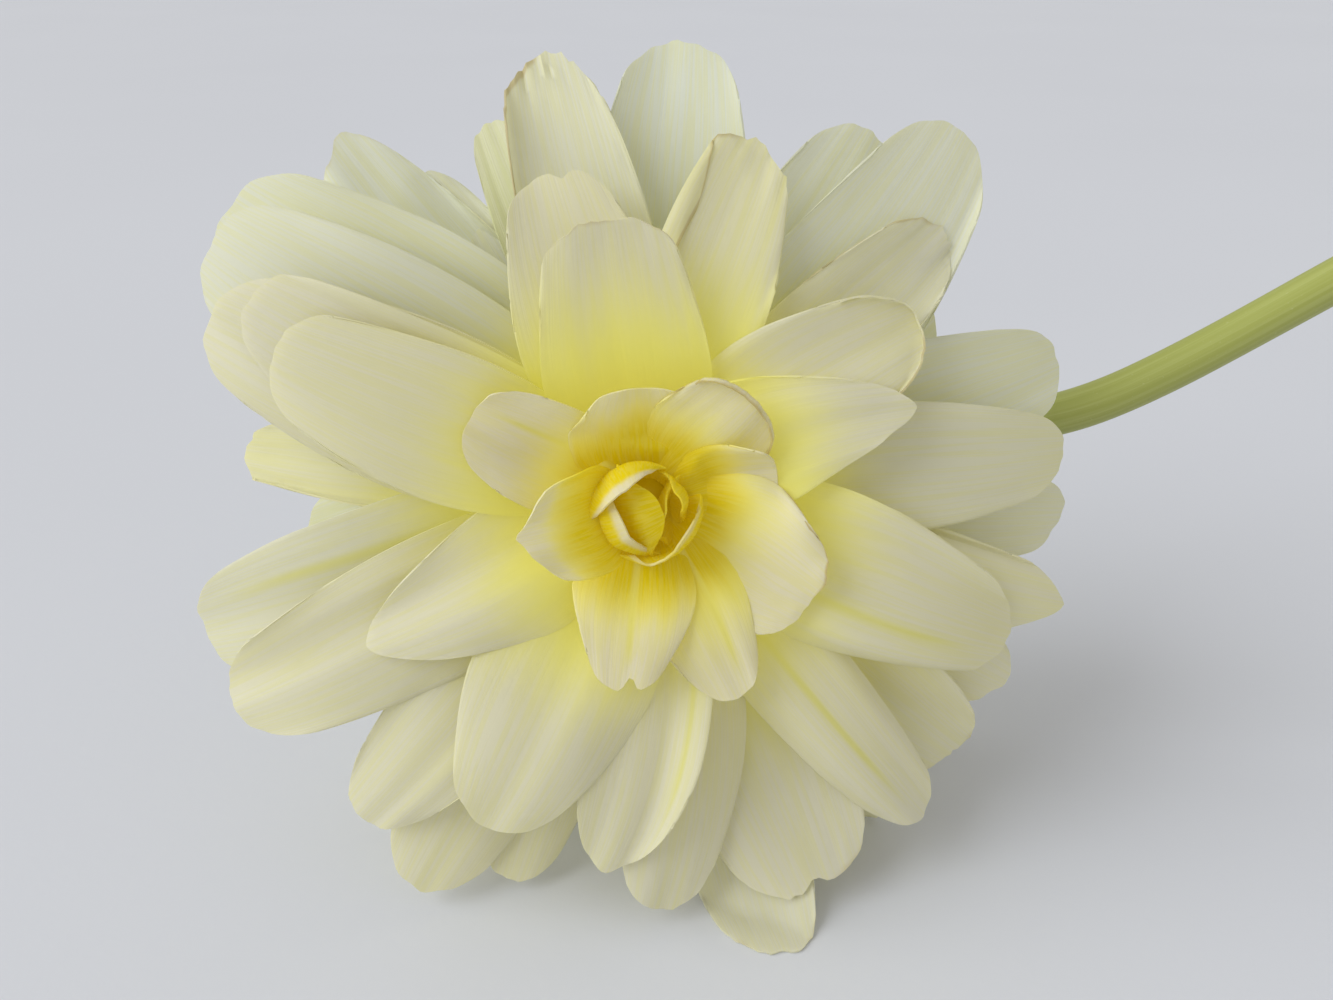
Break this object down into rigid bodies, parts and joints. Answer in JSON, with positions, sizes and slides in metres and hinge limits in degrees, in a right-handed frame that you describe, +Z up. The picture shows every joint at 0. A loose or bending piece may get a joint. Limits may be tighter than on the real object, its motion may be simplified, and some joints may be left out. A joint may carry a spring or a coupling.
{
  "type": "begonia flower",
  "caption": "Double begonia bloom in creamy white with a lemon-yellow heart and a cut, pale green stalk, lying on its lower petals.",
  "frame": {"origin": "Centre of the bottom of the bounding box, on the surface that the flower lies on.", "axes": "+Z up; the open face of the flower looks towards -Y and a little up; the stalk leaves its back and runs to +X."},
  "size_m": [0.1513, 0.0589, 0.0972],
  "materials": {
    "petal": "satin",
    "heart_petal": "satin",
    "stalk": "satin"
  },
  "bodies": {
    "root": {"petals": "petal", "heart": "heart_petal", "stalk": "stalk"}
  },
  "joints": []
}
